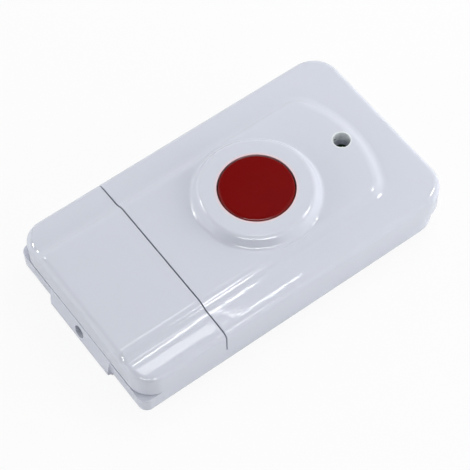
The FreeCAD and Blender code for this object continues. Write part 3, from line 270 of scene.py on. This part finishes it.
def cell_sleeve():
    """A dark blue sleeve that leaves the steel bare at both ends of the cell."""
    finish = Finish("cell_sleeve", rgb(60, 70, 92), 0.3)
    low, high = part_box("battery_cell")
    half_length = (high.y - low.y) / 2
    from_middle = finish.math("ABSOLUTE", finish.math("SUBTRACT", finish.axis("Y"), (low.y + high.y) / 2))
    bare_end = finish.step(from_middle, low=half_length - 1.5 * MM, high=half_length - 1.4 * MM)
    cloud = finish.noise(2.5 * MM)
    sleeve = finish.mix(cloud, rgb(52, 62, 84), rgb(64, 74, 98))
    finish.surface(Base_Color=finish.mix(bare_end, sleeve, rgb(186, 186, 184)), Metallic=bare_end,
                   Roughness=finish.between(cloud, 0.22, 0.36), Normal=finish.bump(cloud, depth=0.02 * MM))
    return finish.material


def dress(material, *names):
    """Give CAD nodes a finish."""
    for name in names:
        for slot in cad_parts[name].material_slots:
            slot.material = material


compound = grainy("black_moulding_compound", rgb(38, 38, 40), rgb(33, 33, 35), rgb(47, 47, 50),
                  grain_size=0.12 * MM, depth=0.008 * MM, smoothest=0.52, roughest=0.72)
ceramic = grainy("fired_ceramic", rgb(190, 168, 134), rgb(182, 158, 124), rgb(202, 180, 146),
                 grain_size=0.1 * MM, depth=0.005 * MM, smoothest=0.45, roughest=0.65, patch_size=0.7 * MM)
white_moulding = grainy("matt_white_moulding", rgb(222, 220, 212), rgb(218, 215, 206), rgb(228, 226, 219),
                        grain_size=0.2 * MM, depth=0.004 * MM, smoothest=0.42, roughest=0.58)
nickel = plated_metal("nickel_plate", rgb(214, 212, 206), rgb(188, 186, 178),
                      grain_size=0.35 * MM, smoothest=0.18, roughest=0.34)
steel = plated_metal("zinc_plated_steel", rgb(186, 188, 190), rgb(158, 160, 164),
                     grain_size=0.25 * MM, smoothest=0.26, roughest=0.42)
tin = plated_metal("tinned_solder", rgb(204, 206, 208), rgb(172, 174, 178),
                   grain_size=0.5 * MM, smoothest=0.16, roughest=0.3)

dress(casing_plastic(), "front_shell", "rear_shell", "battery_cover")
dress(button_plastic(), "button_cap")
dress(solder_resist(), "circuit_board")
dress(compound, "switch_base", "switch_plunger", "encoder_chip", "rf_transistor", "chip_resistors")
dress(nickel, "switch_frame", "switch_legs", "encoder_pins", "saw_resonator", "resonator_pins",
      "transistor_pins", "trimmer_rotor", "positive_contact", "negative_contact")
dress(steel, "case_screws", "board_screws")
dress(enamelled_copper(), "antenna_loop")
dress(ceramic, "chip_capacitors")
dress(white_moulding, "lamp_base", "trimmer_base")
dress(clear_resin(), "lamp_lens")
dress(cell_sleeve(), "battery_cell")


# Threads and solder, which the CAD leaves out

class Shaping(Nodes):
    """A Geometry Nodes tree in the making, with its named sizes, and the mesh that it gives."""

    def __init__(self, name, **sizes):
        super().__init__(bpy.data.node_groups.new(name, "GeometryNodeTree"))
        self.tree.is_modifier = True
        face = self.tree.interface
        face.new_socket("Geometry", in_out="INPUT", socket_type="NodeSocketGeometry")
        self.values = {}
        for label, value in sizes.items():
            socket = face.new_socket(label, in_out="INPUT", socket_type="NodeSocketFloat")
            self.values[socket.identifier] = value
        face.new_socket("Geometry", in_out="OUTPUT", socket_type="NodeSocketGeometry")
        self.start = self.add("NodeGroupInput").outputs

    def finish(self, shape, material, tilt=0.0):
        """Stand the shape on every point that comes in, as one plain mesh with its finish."""
        points = self.out("GeometryNodeMeshToPoints", Mesh=self.start["Geometry"])
        turn = self.out("FunctionNodeRandomValue", data_type="FLOAT_VECTOR", Min=(tilt, 0, 0),
                        Max=(tilt, 0, 2 * math.pi), Seed=4)
        placed = self.out("GeometryNodeInstanceOnPoints", Points=points, Instance=shape, Rotation=turn)
        real = self.out("GeometryNodeRealizeInstances", Geometry=placed)
        dressed = self.out("GeometryNodeSetMaterial", Geometry=real, Material=material)
        self.add("NodeGroupOutput", dressed)

    def piece(self, name, spots):
        """The finished piece, grown at its spots and riding on the housing."""
        mesh = bpy.data.meshes.new(name + "_spots")
        mesh.from_pydata(spots, [], [])
        body = stand(name, mesh)
        modifier = body.modifiers.new(self.tree.name, "NODES")
        modifier.node_group = self.tree
        for identifier, value in self.values.items():
            modifier[identifier] = value
        ready = bpy.context.evaluated_depsgraph_get()
        grown = bpy.data.meshes.new_from_object(body.evaluated_get(ready), depsgraph=ready)
        body.modifiers.clear()
        body.data = grown
        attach(body, "housing")
        return body


def clusters(node, low, high, reach):
    """The centres, seen from above, of a node's groups of points between two heights."""
    groups = []
    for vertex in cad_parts[node].data.vertices:
        place = vertex.co
        if not low <= place.z <= high:
            continue
        for group in groups:
            if (group[0].xy - place.xy).length < reach:
                group.append(place)
                break
        else:
            groups.append([place.copy()])
    centres = []
    for group in groups:
        xs, ys = [place.x for place in group], [place.y for place in group]
        centres.append(((min(xs) + max(xs)) / 2, (min(ys) + max(ys)) / 2))
    return centres


def threads(name, node, material, foot, length, core, ridge, pitch):
    """The thread of each screw of a node: a three-sided ridge that winds up its shank."""
    low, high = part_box(node)
    screw_reach = 4.5 * MM
    spots = [(x, y, foot) for x, y in clusters(node, low.z, high.z, screw_reach)]
    thread = Shaping(name, Core=core, Ridge=ridge, Length=length, Turns=length / pitch)
    size = thread.start
    coil = thread.out("GeometryNodeCurveSpiral", Resolution=POINTS_ROUND, Rotations=size["Turns"],
                      Start_Radius=size["Core"], End_Radius=size["Core"], Height=size["Length"])
    upright = thread.out("GeometryNodeSetCurveNormal", mode="Z_UP", Curve=coil)
    section = thread.out("GeometryNodeCurvePrimitiveCircle", Resolution=3, Radius=size["Ridge"])
    outward = thread.out("GeometryNodeTransform", Geometry=section, Rotation=(0, 0, math.pi))
    swept = thread.out("GeometryNodeCurveToMesh", Curve=upright, Profile_Curve=outward, Fill_Caps=True)
    thread.finish(swept, material)
    piece = thread.piece(name, spots)


def solder_joints(material):
    """A hollow-sided cone of solder round each lead, on the back of the board."""
    board_end, _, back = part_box("circuit_board")[0]
    behind_board, lead_reach = 0.3 * MM, 1.2 * MM
    spots = []
    for node in ("switch_legs", "resonator_pins", "antenna_loop", "positive_contact", "negative_contact"):
        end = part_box(node)[0].z
        leads = clusters(node, end, back - behind_board, lead_reach)
        spots += [(x, y, back) for x, y in leads if x > board_end]
    solder = Shaping("solder_joint", Pad=0.92 * MM, Neck=0.36 * MM, Rise=0.75 * MM, Hollow=0.85)
    pad, neck, rise, hollow = (solder.start[label] for label in ("Pad", "Neck", "Rise", "Hollow"))
    cone = solder.out("GeometryNodeMeshCone", Vertices=POINTS_ROUND, Side_Segments=8, Radius_Top=neck,
                      Radius_Bottom=pad, Depth=rise)
    x, y, z = solder.add("ShaderNodeSeparateXYZ", solder.out("GeometryNodeInputPosition")).outputs
    share = solder.math("DIVIDE", z, rise)
    dip = solder.math("MULTIPLY", solder.math("MULTIPLY", share, solder.math("SUBTRACT", 1.0, share)), hollow)
    keep = solder.math("SUBTRACT", 1.0, dip)
    drawn_in = solder.out("ShaderNodeCombineXYZ", solder.math("MULTIPLY", x, keep),
                          solder.math("MULTIPLY", y, keep), z)
    fillet = solder.out("GeometryNodeSetPosition", Geometry=cone, Position=drawn_in)
    smooth = solder.out("GeometryNodeSetShadeSmooth", Geometry=fillet)
    solder.finish(smooth, material, tilt=math.pi)
    piece = solder.piece("solder_joints", spots)


threads("case_screw_threads", "case_screws", steel, foot=2.0 * MM, length=4.6 * MM, core=0.95 * MM,
        ridge=0.19 * MM, pitch=0.76 * MM)
threads("board_screw_threads", "board_screws", steel, foot=3.45 * MM, length=2.6 * MM, core=0.69 * MM,
        ridge=0.13 * MM, pitch=0.52 * MM)
solder_joints(tin)


# The switch's dome, as a smooth copy of the CAD node

def snap_dome(material):
    """The thin metal dome with its rim on the switch base, as a welded, smooth-shaded copy of the CAD node.
    """
    same_point, crease, press = 0.001 * MM, math.radians(40), 0.3 * MM
    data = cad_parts["switch_dome"].data.copy()
    sheet = bmesh.new()
    sheet.from_mesh(data)
    bmesh.ops.remove_doubles(sheet, verts=sheet.verts, dist=same_point)
    sheet.to_mesh(data)
    sheet.free()
    data.polygons.foreach_set("use_smooth", [True] * len(data.polygons))
    data.set_sharp_from_angle(angle=crease)
    data.materials.clear()
    data.materials.append(material)
    dome = stand("snap_dome", data)
    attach(dome, "housing")
    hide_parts("switch_dome")
    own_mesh(dome)


snap_dome(steel)


# Stage, light and camera

def white_table(gap):
    """White that glows where the camera sees it, and lets through rays from below or shorter than the gap."""
    material = bpy.data.materials.new("white_table")
    material.use_nodes = True
    table = Nodes(material.node_tree)
    table.tree.nodes.clear()
    ray = table.add("ShaderNodeLightPath").outputs
    glow_share = table.math("MULTIPLY", ray["Is Camera Ray"], 0.9)
    paper = table.out("ShaderNodeBsdfDiffuse", Color=(0.86, 0.86, 0.86, 1))
    white = table.out("ShaderNodeMixShader", glow_share, paper, table.out("ShaderNodeEmission"))
    in_gap = table.math("LESS_THAN", ray["Ray Length"], gap)
    from_below = table.add("ShaderNodeNewGeometry").outputs["Backfacing"]
    let_through = table.math("MAXIMUM", in_gap, from_below)
    clear = table.out("ShaderNodeBsdfTransparent")
    table.add("ShaderNodeOutputMaterial", table.out("ShaderNodeMixShader", let_through, white, clear))
    return material


def floor():
    """A wide white table top, left open under the casing so that its back can be looked at from below."""
    reach, top, inset = 3.0, -0.02 * MM, 3 * MM
    gap = 5 * abs(top)
    low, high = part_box("rear_shell")
    hole = (low.x + inset, low.y + inset, high.x - inset, high.y - inset)
    corners = []
    for left, near, right, far in ((-reach, -reach, reach, reach), hole):
        corners += [(left, near, top), (right, near, top), (right, far, top), (left, far, top)]
    data = bpy.data.meshes.new("floor")
    data.from_pydata(corners, [], [(i, (i + 1) % 4, (i + 1) % 4 + 4, i + 4) for i in range(4)])
    data.materials.append(white_table(gap))
    plane = stand("floor", data)


class Room(Nodes):
    """The pale room round the table, as brightness by direction."""

    def __init__(self):
        world = bpy.data.worlds.new("pale_room")
        bpy.context.scene.world = world
        world.use_nodes = True
        super().__init__(world.node_tree)
        direction = self.add("ShaderNodeTexCoord").outputs["Generated"]
        self.x, self.y, self.z = self.add("ShaderNodeSeparateXYZ", direction).outputs

    def mix(self, share, first, second):
        return self.math("ADD", self.math("MULTIPLY", first, self.math("SUBTRACT", 1.0, share)),
                         self.math("MULTIPLY", second, share))

    def toward(self, degrees):
        """1 in the level direction so many degrees from X, 0 at right angles to it and -1 behind."""
        turn = math.radians(degrees)
        return self.math("ADD", self.math("MULTIPLY", self.x, math.cos(turn)),
                         self.math("MULTIPLY", self.y, math.sin(turn)))

    def light(self, far_side, near_low, near_high, far_low, far_high, shaded, below):
        """Brightness low down and high up, on the near side and towards far_side in degrees from X.

        It is shaded low down behind the camera, and white where the camera sees the room.
        Heights run from 0 at the level of the table to 1 straight above.
        """
        behind_camera = self.toward(-135)
        low_down = self.step(behind_camera, low=0.5, high=0.85, at_low=near_low, at_high=shaded)
        low_down = self.step(self.z, low=-0.2, high=-0.05, at_low=below, at_high=low_down)
        near = self.step(self.z, low=0.3, high=0.6, at_low=low_down, at_high=near_high)
        far = self.step(self.z, low=0.68, high=0.82, at_low=far_low, at_high=far_high)
        far_share = self.step(self.toward(far_side), low=-0.35, high=0.35)
        level = self.mix(far_share, near, far)
        ray = self.add("ShaderNodeLightPath").outputs
        seen = self.math("MAXIMUM", ray["Is Camera Ray"], ray["Is Transmission Ray"])
        self.set(self.tree.nodes["Background"], Color=(1, 1, 1, 1), Strength=self.mix(seen, level, 1.0))


def lamp(name, width, height, brightness, place):
    """A flat lamp of a plain brightness; place stands its middle and turns it."""
    data = bpy.data.lights.new(name, "AREA")
    data.shape = "RECTANGLE"
    data.size, data.size_y = width, height
    data.energy = brightness * math.pi * width * height
    body = stand(name, data)
    body.matrix_world = place
    return body


def window(name, left, right, near, far, brightness):
    """A level lamp one metre over the table, between two lines along X and two across."""
    middle = Vector(((left + right) / 2, (near + far) / 2, 1.0))
    lamp(name, right - left, far - near, brightness, Matrix.Translation(middle))


def facing(place):
    """Where a lamp stands whose back is turned to place and which looks at the object."""
    away = Vector(place).normalized()
    side = Vector((0, 0, 1)).cross(away).normalized()
    turned = Matrix((side, away.cross(side), away)).transposed().to_4x4()
    return Matrix.Translation(place) @ turned


def glint(name, place, width, height, brightness):
    """A window that is only mirrored in gloss and lights nothing."""
    lamp(name, width, height, brightness, facing(place)).visible_diffuse = False


def fill(name, place, width, height, brightness):
    """A soft lamp that isn't mirrored in gloss."""
    lamp(name, width, height, brightness, facing(place)).visible_glossy = False


def camera(azimuth, elevation, roll, distance, lens, shift):
    """A camera that looks at the origin, with angles in degrees and its shift in pixels of the photo."""
    turn, lift = math.radians(azimuth), math.radians(elevation)
    back = Vector((math.sin(turn) * math.cos(lift), -math.cos(turn) * math.cos(lift), math.sin(lift)))
    right = Vector((math.cos(turn), math.sin(turn), 0))
    level = Matrix((right, back.cross(right), back)).transposed().to_4x4()
    rolled = Matrix.Rotation(math.radians(roll), 4, "Z")
    data = bpy.data.cameras.new("camera")
    data.lens = lens
    data.shift_x, data.shift_y = (pixels / PHOTO_SIDE for pixels in shift)
    data.clip_start, data.clip_end = 0.01, 20
    body = stand("camera", data)
    body.matrix_world = Matrix.Translation(back * distance) @ level @ rolled
    bpy.context.scene.camera = body


floor()
Room().light(far_side=20, near_low=2.0, near_high=0.32, far_low=0.74, far_high=0.58, shaded=0.3, below=0.6)
fill("end_fill", (0.16, 0.05, 0.26), width=0.16, height=0.12, brightness=3.4)
fill("right_fill", (0.32, -0.24, 0.13), width=0.3, height=0.2, brightness=3.6)
fill("left_fill", (-0.4, 0.1, 0.12), width=0.3, height=0.15, brightness=1.9)
window("far_bar", left=0.188, right=0.335, near=0.398, far=0.408, brightness=16)
window("near_bar", left=0.286, right=0.345, near=0.214, far=0.222, brightness=16)
window("end_bar", left=0.286, right=0.289, near=0.222, far=0.398, brightness=14)
window("cover_end_bar", left=0.188, right=0.191, near=0.25, far=0.398, brightness=14)
window("blind", left=0.196, right=0.268, near=0.225, far=0.33, brightness=4.5)
glint("window_behind", (-0.43, -0.62, 0.66), width=1.0, height=0.12, brightness=26)
glint("right_window", (0.66, -0.09, 1.0), width=0.18, height=0.16, brightness=26)
glint("left_window", (-0.35, 0.83, 1.0), width=0.25, height=0.2, brightness=30)
glint("side_window", (0.33, -0.66, 1.0), width=0.06, height=0.12, brightness=18)
camera(azimuth=-35.3, elevation=58.5, roll=-1.4, distance=0.361, lens=136.7, shift=(-1.4, 4.1))

scene = bpy.context.scene
scene.view_settings.view_transform = "Standard"
